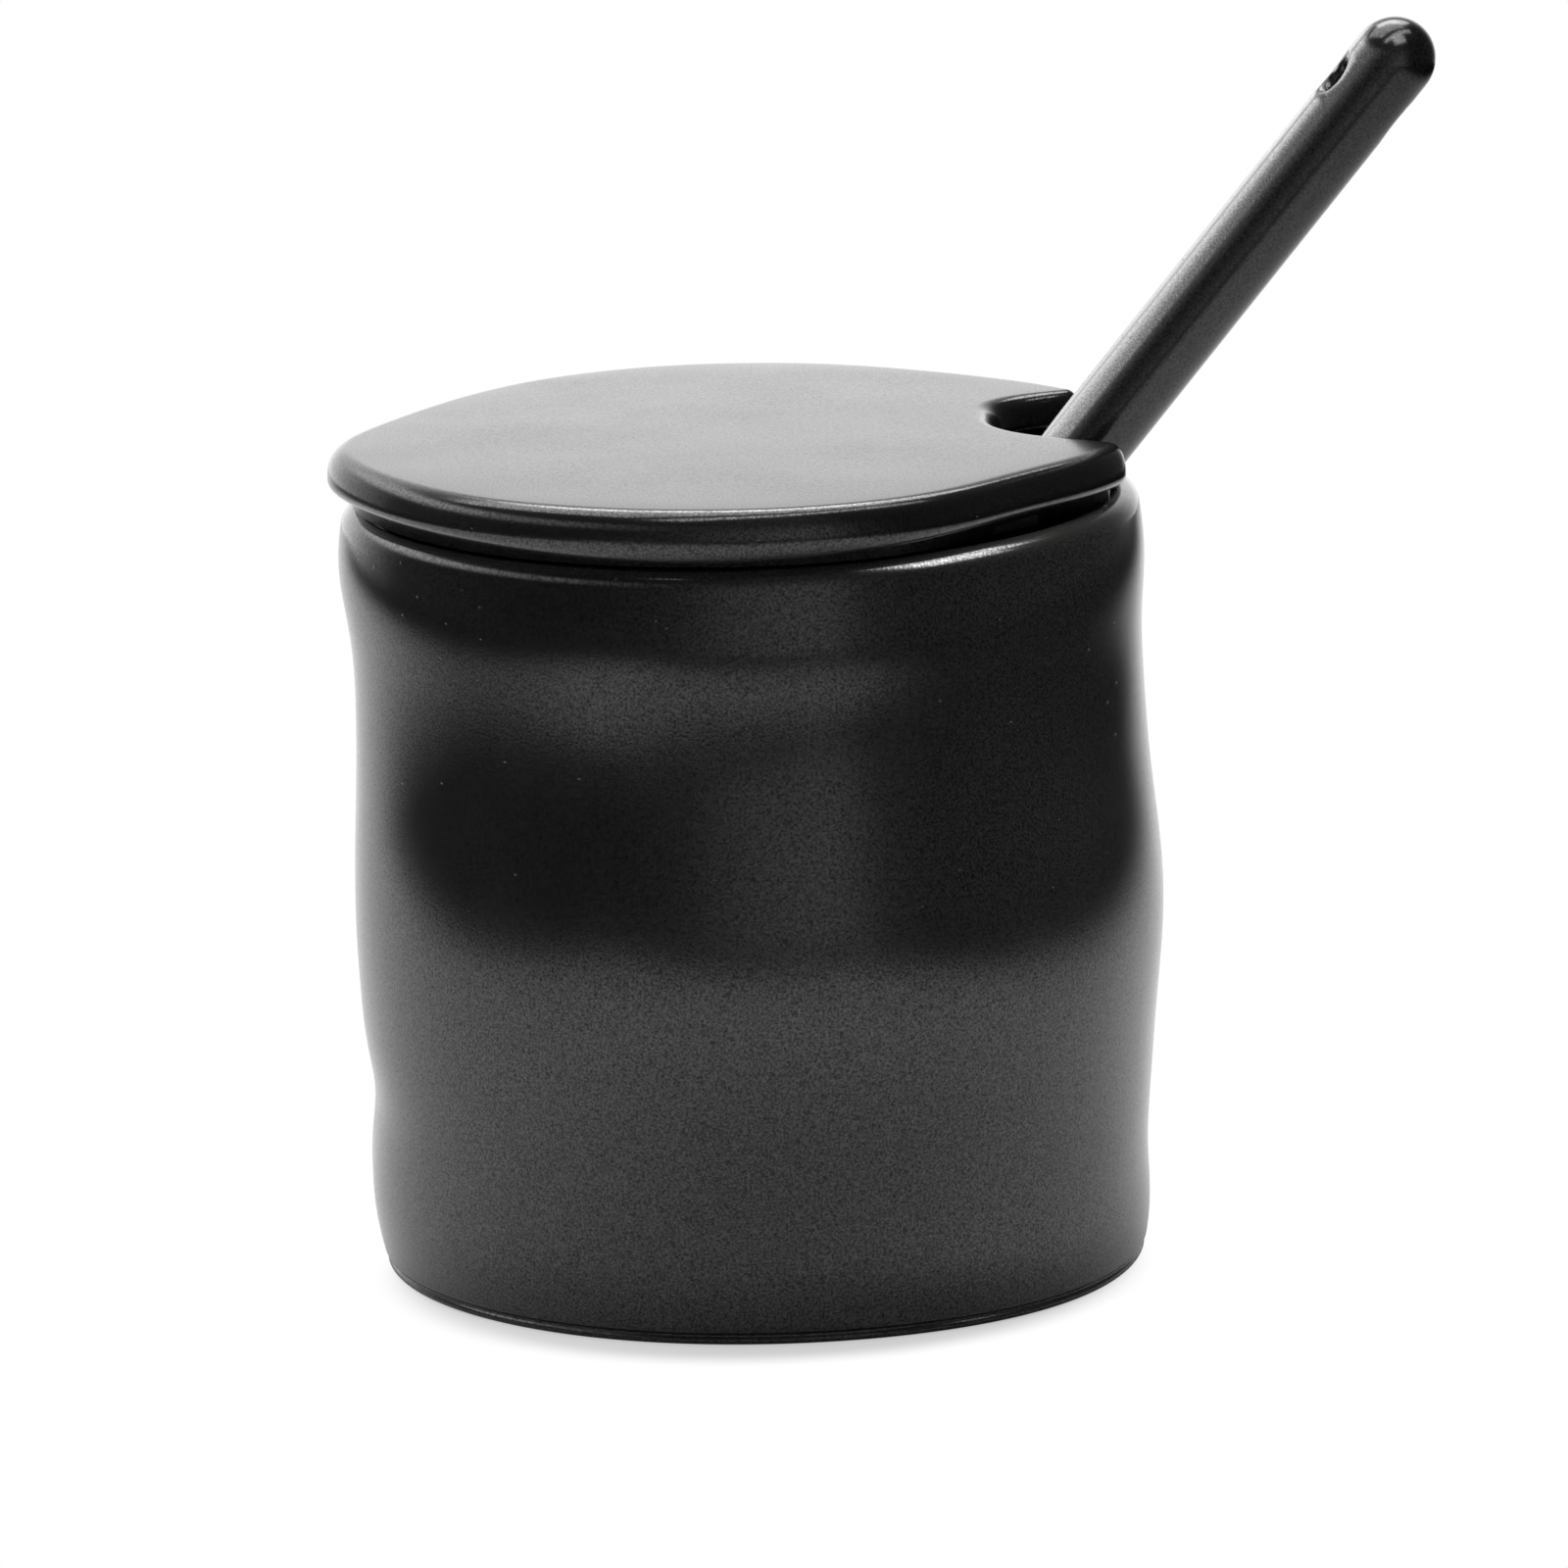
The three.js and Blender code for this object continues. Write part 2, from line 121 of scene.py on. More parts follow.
NOTCH_FRONT = 18.4        # half width of the notch where it is as deep as that, towards the front
NOTCH_BACK = 10.6         # and towards the back
HORN_ROUND = 3.5          # how softly the notch runs out into the lid's edge
HORN_SLIMNESS = 0.45      # share of the rounded edge that the slim horns have no room for
FLANGE_HEIGHT = 3.0
FLANGE_THICKNESS = 2.8
FLANGE_END_GAP = 5.0      # degrees between the notch's corners and the flange's ends
FLANGE_ROUND = 0.8

# Swells (+) and flats (-) in the lid's outline: turn, depth and reach.
LID_PRESSES = (
    (180, 1.4, 16),
    (150, -2.1, 24),
    (57, -2.4, 24),
    (-42, -2.2, 18),
    (-85, 0.5, 25),
)

# Spoon sizes
SPOON_LENGTH = 153.4
SPOON_ASIDE = 2.2         # sideways from the jar's middle plane
HANDLE_RADIUS = 4.2       # at the thick end
NECK_RADIUS = 4.2         # where the handle meets the bowl
HANDLE_END = 4.4          # length of the handle's rounded end
BOWL_LENGTH = 35.0
BOWL_WIDTH = 21.0
BOWL_DEPTH = 7.0
BOWL_WALL = 2.2
BOWL_BRIM = 1.2           # the brim's height above the handle's middle line
BRIM_SHARE = 0.5          # of the handle's thickness that the brim keeps in front, as a ratio
BOWL_WIDEST = 16.5        # from the bowl's tip
HANGING_HOLE = 3.6        # diameter
HANGING_HOLE_FROM_END = 9.2
HANGING_HOLE_SLIMNESS = 0.7    # its width as a share of its length
HANGING_HOLE_LIP = 1.2    # radius of its rounded lips

# Hand-made waviness of the surfaces: depth and length of the waves
JAR_WAVE = (0.05, 14.0)
LID_WAVE = (0.05, 13.0)

# Grain of the glaze: how far it moves the gloss up and down
SPARKLE = {"jar": 0.27, "lid": 0.26, "spoon": 0.12}

# Where the glaze runs thin and greyer, partly a painted highlight along the edge: its reach down from the
# rim, and its place and reach on the lid's rounded edge
RIM_THIN_GLAZE_AND_HIGHLIGHT = 1.0
LID_THIN_GLAZE_AND_HIGHLIGHT_PLACE = 0.3    # as a share of the edge's rounding
LID_THIN_GLAZE_AND_HIGHLIGHT = 0.7

# Meshes
MERGE_DISTANCE = 1e-4     # points nearer than this become one
SLACK = 1e-3              # for rounding, where places are compared
JAR_STEPS = 240           # points round the jar


def lerp(start, end, share):
    return start + (end - start) * share


def smoothstep(value, low, high):
    share = min(1.0, max(0.0, (value - low) / (high - low)))
    return share * share * (3.0 - 2.0 * share)


def bump(distance, reach):
    """1 in the middle, fading to nothing past its reach."""
    return math.exp(-((distance / reach) ** 2))


def turn_between(angle, turn):
    """Degrees from a turn to an angle in radians, the short way round."""
    return (math.degrees(angle) - turn + 180.0) % 360.0 - 180.0


def quarter(steps):
    """Sine and cosine of the steps of a quarter turn, from 0 to 90 degrees."""
    bends = [0.5 * math.pi * step / steps for step in range(steps + 1)]
    return [(math.sin(bend), math.cos(bend)) for bend in bends]


def waves(point, wave):
    """Height of the hand-made waviness at a point."""
    depth, length = wave
    return depth * noise.noise(point / length)


def spun(profile, steps):
    """A closed body, spun about +Z from a profile of (radius, height) that runs from axis to axis."""
    body = bmesh.new()
    chain = [body.verts.new((radius, 0.0, height)) for radius, height in profile]
    edges = [body.edges.new(pair) for pair in zip(chain, chain[1:])]
    bmesh.ops.spin(
        body,
        geom=chain + edges,
        cent=(0, 0, 0),
        axis=(0, 0, 1),
        angle=math.tau,
        steps=steps,
        use_merge=True,
    )
    bmesh.ops.remove_doubles(body, verts=body.verts, dist=MERGE_DISTANCE)
    bmesh.ops.recalc_face_normals(body, faces=body.faces)
    return body


def finish_piece(body, name, material):
    """Scales a body from millimetres to metres and makes it a smooth piece."""
    bmesh.ops.scale(body, vec=(MM, MM, MM), verts=body.verts)
    bmesh.ops.recalc_face_normals(body, faces=body.faces)
    mesh = bpy.data.meshes.new(name)
    body.to_mesh(mesh)
    body.free()
    mesh.shade_smooth()
    mesh.materials.append(material)
    piece = bpy.data.objects.new(name, mesh)
    bpy.context.scene.collection.objects.link(piece)
    return piece


# Jar


def jar_radius(angle, height):
    """The jar's outside, at an angle about +Z and a height."""
    foot = FOOT_INSET * max(0.0, 1.0 - height / FOOT_RISE) ** 2
    belly = BELLY_SWELL * bump(height - BELLY_HEIGHT, BELLY_RISE)
    shoulder = SHOULDER_SWELL * bump(height - (RIM_HEIGHT - SHOULDER_DROP), SHOULDER_RISE)
    radius = BODY_RADIUS + belly + shoulder - foot
    for turn, middle, depth, arc, rise in JAR_PRESSES:
        radius += depth * bump(turn_between(angle, turn), arc) * bump(height - middle, rise)
    return radius


def wall_at(height):
    return lerp(WALL, RIM_WALL, smoothstep(height, RIM_HEIGHT - RIM_THINNING, RIM_HEIGHT - LIP_INNER))


def jar_profile():
    """(inset from the outside, height), from the middle of the underside over the rim to the inside floor."""
    foot_steps = 8
    groove_steps = 14
    outer_steps = 100
    lip_outer_steps = 20
    lip_inner_steps = 10
    inner_steps = 48
    fillet_steps = 12
    floor_rings = (0.8, 0.5, 0.25)
    profile = [(BODY_RADIUS, 0.0)]
    profile += [(BODY_RADIUS * (1.0 - ring), 0.0) for ring in reversed(floor_rings)]
    profile += [
        (FOOT_ROUND * (1.0 - sine), FOOT_ROUND * (1.0 - cosine))
        for sine, cosine in quarter(foot_steps)
    ]
    groove_top = GROOVE_HEIGHT + 4.0 * GROOVE_RISE
    for step in range(1, groove_steps + 1):
        height = lerp(FOOT_ROUND, groove_top, step / groove_steps)
        profile.append((GROOVE_DEPTH * bump(height - GROOVE_HEIGHT, GROOVE_RISE), height))
    shoulder = RIM_HEIGHT - LIP_DROP
    profile += [(0.0, lerp(groove_top, shoulder, step / outer_steps)) for step in range(1, outer_steps)]
    lip_outer = RIM_WALL - LIP_INNER
    profile += [
        (lip_outer * (1.0 - cosine), shoulder + LIP_DROP * sine)
        for sine, cosine in quarter(lip_outer_steps)
    ]
    profile += [
        (lip_outer + LIP_INNER * sine, RIM_HEIGHT - LIP_INNER * (1.0 - cosine))
        for sine, cosine in quarter(lip_inner_steps)[1:]
    ]
    fillet_top = FLOOR_THICKNESS + FLOOR_FILLET
    for step in range(1, inner_steps + 1):
        height = lerp(RIM_HEIGHT - LIP_INNER, fillet_top, step / inner_steps)
        profile.append((wall_at(height), height))
    profile += [
        (WALL + FLOOR_FILLET * (1.0 - cosine), fillet_top - FLOOR_FILLET * sine)
        for sine, cosine in quarter(fillet_steps)[1:]
    ]
    inner = BODY_RADIUS - WALL - FLOOR_FILLET
    profile += [(BODY_RADIUS - inner * ring, FLOOR_THICKNESS) for ring in floor_rings]
    profile.append((BODY_RADIUS, FLOOR_THICKNESS))
    return profile


def make_jar():
    body = spun([(BODY_RADIUS - inset, height) for inset, height in jar_profile()], JAR_STEPS)
    thin_glaze_highlight = body.verts.layers.float.new("thin_glaze_and_highlight")
    for vert in body.verts:
        radius = math.hypot(vert.co.x, vert.co.y)
        height = vert.co.z
        angle = math.atan2(vert.co.y, vert.co.x)
        share = min(1.0, radius / (BODY_RADIUS - WALL - FLOOR_FILLET))
        swell = jar_radius(angle, height) - BODY_RADIUS
        if height > FOOT_ROUND:
            swell += waves(vert.co, JAR_WAVE)
        scale = (radius + swell * share) / radius if radius > 0.0 else 1.0
        vert.co.x *= scale
        vert.co.y *= scale
        # Share of thin, greyer glaze at the rim, which also paints a highlight along the rim
        vert[thin_glaze_highlight] = bump(height - RIM_HEIGHT, RIM_THIN_GLAZE_AND_HIGHLIGHT)
    return body


# Spoon, upright in its own frame: bowl tip at the origin, handle up +Z, hollow side facing -X


def handle_at(along):
    """Thickness of the round handle at a distance from the bowl's tip. Inside the bowl it dies away."""
    if along < BOWL_LENGTH:
        return NECK_RADIUS * math.sqrt(max(0.0, along) / BOWL_LENGTH)
    share = (along - BOWL_LENGTH) / (SPOON_LENGTH - BOWL_LENGTH)
    into_end = max(0.0, along - (SPOON_LENGTH - HANDLE_END)) / HANDLE_END
    return lerp(NECK_RADIUS, HANDLE_RADIUS, share) * math.sqrt(max(0.0, 1.0 - into_end**2))


def egg_at(along, inset=0.0):
    """The bowl's egg outline, drawn in by an inset: 1 at its widest, 0 at both ends."""
    half = (BOWL_WIDEST if along < BOWL_WIDEST else BOWL_LENGTH - BOWL_WIDEST) - inset
    return math.sqrt(max(0.0, 1.0 - ((along - BOWL_WIDEST) / half) ** 2))


def flow_into(bowl_size, handle_size):
    """Blends the bowl's size into the handle's without a crease."""
    sharpness = 4
    return (bowl_size**sharpness + handle_size**sharpness) ** (1.0 / sharpness)


def spoon_point(angle, along):
    """A point of the spoon's surface. The front rises from the hollow's brim to the handle's thickness."""
    handle = handle_at(along)
    egg = egg_at(along)
    half_width = flow_into(0.5 * BOWL_WIDTH * egg, handle)
    across = half_width * math.sin(angle)
    if math.cos(angle) > 0.0:
        return Vector((flow_into(BOWL_DEPTH * egg, handle) * math.cos(angle), across, along))
    brim = flow_into(BOWL_BRIM * math.sqrt(egg), handle * BRIM_SHARE)
    front = lerp(brim, handle, smoothstep(along, BOWL_WIDEST, BOWL_LENGTH + NECK_RADIUS))
    deep = front * math.cos(angle)
    hollow = egg_at(along, BOWL_WALL)
    if hollow > 0.0:
        hollow_width = (0.5 * BOWL_WIDTH - BOWL_WALL) * hollow
        inside = max(0.0, 1.0 - (across / hollow_width) ** 2)
        deep += ((BOWL_DEPTH - BOWL_WALL) * hollow + front) * math.sqrt(inside)
    return Vector((deep, across, along))


SPOON_STEPS = 112         # points round the spoon
HOLE_STEPS = 8            # from the hanging hole's middle to its edge
HOLE_STEP = 0.5 * HANGING_HOLE / HOLE_STEPS
HOLE_ROWS = 20            # the points round the hole lie in rings as far out as this
HOLE_MIDDLE = SPOON_LENGTH - HANGING_HOLE_FROM_END
HOLE_TURN = 3 * math.tau / SPOON_STEPS    # about the handle, in whole steps


def spoon_stations():
    """Distances from the bowl's tip at which the spoon has a ring of points."""
    bowl_steps = 60
    shank_steps = 90
    end_steps = 16
    bends = [math.pi * step / bowl_steps for step in range(1, bowl_steps + 1)]
    places = [0.5 * BOWL_LENGTH * (1.0 - math.cos(bend)) for bend in bends]
    shank_end = HOLE_MIDDLE - HOLE_ROWS * HOLE_STEP
    places += [lerp(BOWL_LENGTH, shank_end, step / shank_steps) for step in range(1, shank_steps)]
    places += [HOLE_MIDDLE + HOLE_STEP * row for row in range(-HOLE_ROWS, HOLE_ROWS + 1)]
    end_start = places[-1]
    places += [lerp(end_start, SPOON_LENGTH, sine) for sine, cosine in quarter(end_steps)[1:-1]]
    return places


def from_hole(point):
    """The turn of the nearer mouth of the hole, and the steps round and along from its middle."""
    turn = math.atan2(point.y, point.x) - HOLE_TURN
    mouth = 0.0 if math.cos(turn) > 0.0 else math.pi
    across = math.remainder(turn - mouth, math.tau) * SPOON_STEPS / math.tau
    return mouth + HOLE_TURN, across, (point.z - HOLE_MIDDLE) / HOLE_STEP


def handle_near_hole(point):
    """A point of the handle's end, where square rings of points become a round hole with a soft lip."""
    mouth, across, along = from_hole(point)
    ring = max(abs(across), abs(along))
    fade = smoothstep(ring, HOLE_STEPS, HOLE_ROWS)
    rounding = lerp(ring / math.hypot(across, along), 1.0, fade)
    turn = lerp(HANGING_HOLE_SLIMNESS * HOLE_STEP / HANDLE_RADIUS, math.tau / SPOON_STEPS, fade)
    from_edge = min(max((ring - HOLE_STEPS) * HOLE_STEP / HANGING_HOLE_LIP, 0.0), 1.0)
    sunk = HANGING_HOLE_LIP * (1.0 - math.sqrt(1.0 - (1.0 - from_edge) ** 2))
    spot = spoon_point(mouth + across * rounding * turn, HOLE_MIDDLE + along * rounding * HOLE_STEP)
    return spot - Vector((math.cos(mouth), math.sin(mouth), 0.0)) * sunk


def make_spoon():
    tunnel_cuts = 14
    stations = spoon_stations()
    profile = [(0.0, 0.0)] + [(HANDLE_RADIUS, along) for along in stations] + [(0.0, SPOON_LENGTH)]
    body = spun(profile, SPOON_STEPS)

    def in_mouth(face):
        mouth, across, along = from_hole(face.calc_center_median())
        return max(abs(across), abs(along)) < HOLE_STEPS

    bmesh.ops.delete(body, geom=[face for face in body.faces if in_mouth(face)], context="FACES")
    rims = [edge for edge in body.edges if edge.is_boundary]
    for vert in body.verts:
        mouth, across, along = from_hole(vert.co)
        if max(abs(across), abs(along)) < HOLE_ROWS:
            vert.co = handle_near_hole(vert.co)
        elif math.hypot(vert.co.x, vert.co.y) > 0.0:
            vert.co = spoon_point(math.atan2(vert.co.y, vert.co.x), vert.co.z)
    tunnel = bmesh.ops.bridge_loops(body, edges=rims)
    bmesh.ops.subdivide_edges(body, edges=tunnel["edges"], cuts=tunnel_cuts, use_grid_fill=True)
    place_spoon(body)
    return body


def spoon_lean():
    """The lean from upright, which is the way the spoon lifts out."""
    lift = next(joint for joint in frame["joints"] if joint["child"] == "spoon")
    return math.atan2(lift["axis"][0], lift["axis"][2])


def place_spoon(body):
    """Leans the spoon as the frame's spoon leans, with the handle's end where its end is."""
    lean = Matrix.Rotation(spoon_lean(), 4, "Y")
    bmesh.ops.transform(body, matrix=lean, verts=body.verts)
    corner = Vector((max(vert.co.x for vert in body.verts), 0.0, max(vert.co.z for vert in body.verts)))
    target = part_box("spoon")[1] / MM
    bmesh.ops.translate(body, vec=(target.x - corner.x, SPOON_ASIDE, target.z - corner.z), verts=body.verts)


# Lid

LID_UNDERSIDE = RIM_HEIGHT + SEAT_GAP
LID_TOP = LID_UNDERSIDE + LID_THICKNESS
LID_RADIUS = BODY_RADIUS + SHOULDER_SWELL + LID_OVERHANG
LID_STEPS = 400           # points round the lid
EDGE_ZONE = 2.4           # the rounded edge lies within this of the outline
WAY_ROUNDS = 6            # of evening out the ways in from the outline, so that none cross at a horn
NOTCH_SECTOR = 68.0       # degrees that hold the notch, seen from the hub
NOTCH_MIDDLE = SPOON_ASIDE + NOTCH_ASIDE
LID_HUB = Vector((0.0, NOTCH_MIDDLE, 0.0))


def edge_inset(rise):
    """How far the lid's rounded edge draws in at a rise above the underside."""
    if rise < LID_WIDEST:
        share = (LID_WIDEST - rise) / LID_WIDEST
        return LID_UNDER_ROUND * (1.0 - math.sqrt(1.0 - share**2))
    share = min(1.0, (rise - LID_WIDEST) / (LID_THICKNESS - LID_WIDEST))
    return LID_TOP_ROUND * (1.0 - (1.0 - share**TOP_SQUARENESS) ** (1.0 / TOP_SQUARENESS))


def lid_lift(angle):
    """How far the lower side of the lid's edge is lifted off the rim, at an angle about +Z."""
    return LID_LIFT - LID_DROOP * bump(turn_between(angle, LID_DROOP_TURN), LID_DROOP_ARC)


def notch_width(across):
    return NOTCH_BACK if across > NOTCH_MIDDLE else NOTCH_FRONT


def notch_depth(across):
    """How far the notch's edge has run out from its inner end, at a place across the lid."""
    aside = across - NOTCH_MIDDLE
    return abs(aside) ** 3 / notch_width(across) ** 2


def find_notch_end():
    """How near the axis the notch ends, so that it clears the leaning handle all through the lid."""
    lean = spoon_lean()
    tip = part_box("spoon")[1] / MM
    samples = 72
    levels = 12
    end_spread = math.hypot(HANDLE_END * math.sin(lean), HANDLE_RADIUS * math.cos(lean))
    end_rise = math.hypot(HANDLE_END * math.cos(lean), HANDLE_RADIUS * math.sin(lean))
    end_middle = Vector((tip.x - end_spread, 0.0, tip.z - end_rise))
    nearest = math.inf
    for level in range(levels + 1):
        rise = LID_THICKNESS * level / levels
        below_end = end_middle.z - LID_UNDERSIDE - rise
        middle = end_middle.x - below_end * math.tan(lean)
        radius = handle_at(SPOON_LENGTH - HANDLE_END - below_end / math.cos(lean))
        for step in range(samples):
            angle = math.tau * step / samples
            across = SPOON_ASIDE + radius * math.sin(angle)
            reach = middle + radius / math.cos(lean) * math.cos(angle)
            nearest = min(nearest, reach - notch_depth(across) + edge_inset(rise))
    return nearest - NOTCH_GAP


NOTCH_END = find_notch_end()


def past_outline(point):
    """How far a point is past the lid's outline, and how far into a corner beside the notch, from 0 to 1."""
    past_edge = math.hypot(point.x, point.y) - LID_RADIUS
    for turn, depth, arc in LID_PRESSES:
        past_edge -= depth * bump(turn_between(math.atan2(point.y, point.x), turn), arc)
    slant = 3.0 * (point.y - NOTCH_MIDDLE) ** 2 / notch_width(point.y) ** 2
    past_notch = (point.x - NOTCH_END - notch_depth(point.y)) / math.hypot(1.0, slant)
    corner = (max(0.0, HORN_ROUND - abs(past_edge - past_notch)) / HORN_ROUND) ** 2
    return max(past_edge, past_notch) + corner * HORN_ROUND / 4.0, corner


def lid_stations():
    """For each step round the lid: a point of its outline, and the way in, shorter where a horn is slim.

    The outline is looked for along rays from a place level with the notch, so that no ray meets it twice.
    """
    stride = 1.0
    halvings = 20
    points = []
    rooms = []
    for step in range(LID_STEPS):
        angle = math.tau * step / LID_STEPS
        ray = Vector((math.cos(angle), math.sin(angle), 0.0))
        near = 0.0
        while past_outline(LID_HUB + ray * (near + stride))[0] < 0.0:
            near += stride
        far = near + stride
        for halving in range(halvings):
            middle = 0.5 * (near + far)
            inside = past_outline(LID_HUB + ray * middle)[0] < 0.0
            near, far = (middle, far) if inside else (near, middle)
        points.append(LID_HUB + ray * far)
        rooms.append(1.0 - HORN_SLIMNESS * past_outline(points[-1])[1])
    ways = []
    for step, room in enumerate(rooms):
        along = (points[(step + 1) % LID_STEPS] - points[step - 1]).normalized()
        ways.append(Vector((-along.y, along.x, 0.0)) * room)
    for again in range(WAY_ROUNDS):
        ways = [
            (ways[step - 1] + 2.0 * ways[step] + ways[(step + 1) % LID_STEPS]) / 4.0
            for step in range(LID_STEPS)
        ]
    return list(zip(points, ways))


def lid_profile(flange_outer):
    """(radius, height) of a plain round lid, from the middle of its underside to the middle of its top."""
    inner = LID_RADIUS - EDGE_ZONE
    flange_inner = flange_outer - FLANGE_THICKNESS
    foot = LID_UNDERSIDE - FLANGE_HEIGHT
    flange_steps = 6
    under_steps = 18
    over_steps = 22
    top_rings = 34
    bulge = 2.0 / TOP_SQUARENESS
    profile = [(flange_inner * share, LID_UNDERSIDE) for share in (0.0, 0.25, 0.5, 0.75, 0.97, 1.0)]
    profile += [(flange_inner, lerp(LID_UNDERSIDE, foot + FLANGE_ROUND, share)) for share in (0.2, 0.6)]
    profile += [
        (flange_inner + FLANGE_ROUND * (1.0 - cosine), foot + FLANGE_ROUND * (1.0 - sine))
        for sine, cosine in quarter(flange_steps)
    ]
    profile += [
        (flange_outer - FLANGE_ROUND * (1.0 - sine), foot + FLANGE_ROUND * (1.0 - cosine))
        for sine, cosine in quarter(flange_steps)
    ]
    profile += [(flange_outer, lerp(foot + FLANGE_ROUND, LID_UNDERSIDE, share)) for share in (0.4, 0.8, 1.0)]
    profile.append((lerp(flange_outer, inner, 0.3), LID_UNDERSIDE))
    profile.append((inner, LID_UNDERSIDE))
    rises = [LID_WIDEST * (1.0 - cosine) for sine, cosine in quarter(under_steps)]
    rises += [lerp(LID_WIDEST, LID_THICKNESS, sine**bulge) for sine, cosine in quarter(over_steps)[1:]]
    profile += [(LID_RADIUS - edge_inset(rise), LID_UNDERSIDE + rise) for rise in rises]
    profile += [(inner * (1.0 - ring / top_rings), LID_TOP) for ring in range(top_rings + 1)]
    return profile


def make_lid():
    flange_foot = LID_UNDERSIDE - FLANGE_HEIGHT
    turns = [math.radians(degree) for degree in range(-180, 180)]
    mouth = min(jar_radius(turn, flange_foot) - wall_at(flange_foot) for turn in turns)
    flange_outer = mouth - FLANGE_GAP
    flange_zone = 0.8 * flange_outer    # the underside's rings bend to the flange's round shape past this
    inner = LID_RADIUS - EDGE_ZONE
    stations = lid_stations()
    beside = round(0.5 * NOTCH_SECTOR / 360.0 * LID_STEPS)
    undersides = [edge + inwards * EDGE_ZONE for edge, inwards in stations[-beside:] + stations[: beside + 1]]
    notched = [math.degrees(math.atan2(spot.y, spot.x)) for spot in undersides if spot.length < flange_outer]
    notch_from = min(notched)
    notch_to = max(notched)

    def flange_share(angle):
        """1 where the flange stands, 0 across the notch."""
        past = max(notch_from - math.degrees(angle), math.degrees(angle) - notch_to)
        return smoothstep(past, 0.0, FLANGE_END_GAP)

    body = spun(lid_profile(flange_outer), LID_STEPS)
    thin_glaze_highlight = body.verts.layers.float.new("thin_glaze_and_highlight")
    for vert in body.verts:
        radius = math.hypot(vert.co.x, vert.co.y)
        height = vert.co.z
        angle = math.atan2(vert.co.y, vert.co.x)
        edge, inwards = stations[round(angle * LID_STEPS / math.tau) % LID_STEPS]
        from_edge = LID_RADIUS - radius
        if from_edge < EDGE_ZONE + SLACK:
            spot = edge + inwards * from_edge
            rise = (height - LID_UNDERSIDE) / LID_WIDEST
            if from_edge < LID_UNDER_ROUND + SLACK and rise < 1.0:
                height += lid_lift(math.atan2(edge.y, edge.x)) * (1.0 - rise)
        else:
            ring = edge + inwards * EDGE_ZONE
            spot = LID_HUB.lerp(ring, radius / inner)
            if height < LID_UNDERSIDE + LID_WIDEST and radius > flange_zone:
                stands = flange_share(math.atan2(ring.y, ring.x))
                spot = spot.lerp(ring.normalized() * radius, stands)
                height = lerp(LID_UNDERSIDE, height, stands)
        vert.co = Vector((spot.x, spot.y, height))
        above_widest = max(0.0, (height - LID_UNDERSIDE - LID_WIDEST) / (LID_THICKNESS - LID_WIDEST))
        if above_widest > 0.0:
            crown = LID_CROWN * max(0.0, 1.0 + past_outline(spot)[0] / LID_CROWN_WIDTH) ** 3
            crown += LID_DOME * (spot.length / LID_RADIUS) ** 2
            vert.co.z += (waves(vert.co, LID_WAVE) - crown) * above_widest
        # Share of thin, greyer glaze on the lid's rounded edge, which also paints a highlight along it
        vert[thin_glaze_highlight] = bump(from_edge - LID_THIN_GLAZE_AND_HIGHLIGHT_PLACE * LID_TOP_ROUND, LID_THIN_GLAZE_AND_HIGHLIGHT) * above_widest
    return body


# Materials


def linear(colour):
    """Linear RGBA of an sRGB hex colour."""
    parts = [int(colour[place : place + 2], 16) / 255.0 for place in (1, 3, 5)]
    return [part / 12.92 if part <= 0.04045 else ((part + 0.055) / 1.055) ** 2.4 for part in parts] + [1.0]


def add(tree, kind, inputs=(), **settings):
    """Adds a node with its settings. Each input is a socket to link from, or a value."""
    node = tree.nodes.new(kind)
    for name, value in settings.items():
        setattr(node, name, value)
    for key, value in dict(inputs).items():
        if isinstance(value, bpy.types.NodeSocket):
            tree.links.new(value, node.inputs[key])
        else:
            node.inputs[key].default_value = value
    return node


